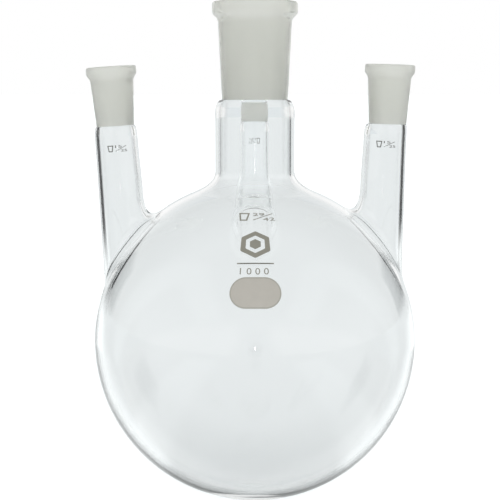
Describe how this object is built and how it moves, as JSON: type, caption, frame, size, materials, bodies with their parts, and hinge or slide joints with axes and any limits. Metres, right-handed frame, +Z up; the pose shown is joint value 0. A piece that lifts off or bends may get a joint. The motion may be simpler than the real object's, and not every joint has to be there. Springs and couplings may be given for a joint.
{
  "type": "round bottom flask",
  "caption": "Round bottom reaction flask with a wide central ground-joint neck and slim upright ground-joint necks at its left, right and back.",
  "frame": {"origin": "lowest point of the round bulb, on the axis of the central neck", "axes": "+Z up along the central neck's axis; -Y is the printed front; the slim necks stand at -X, +X and +Y"},
  "size_m": [0.1384, 0.1371, 0.2098],
  "materials": {
    "clear_glass": "clear polished borosilicate glass",
    "ground_glass": "fine ground, frosted",
    "print_enamel": "fired matt enamel print",
    "mark_enamel": "fired dark enamel print"
  },
  "bodies": {
    "root": {"bulb": "clear_glass", "center_neck": "clear_glass", "left_neck": "clear_glass", "right_neck": "clear_glass", "rear_neck": "clear_glass", "center_socket": "ground_glass", "left_socket": "ground_glass", "right_socket": "ground_glass", "rear_socket": "ground_glass", "writing_patch": "print_enamel", "hexagon_badge": "mark_enamel"}
  },
  "joints": []
}
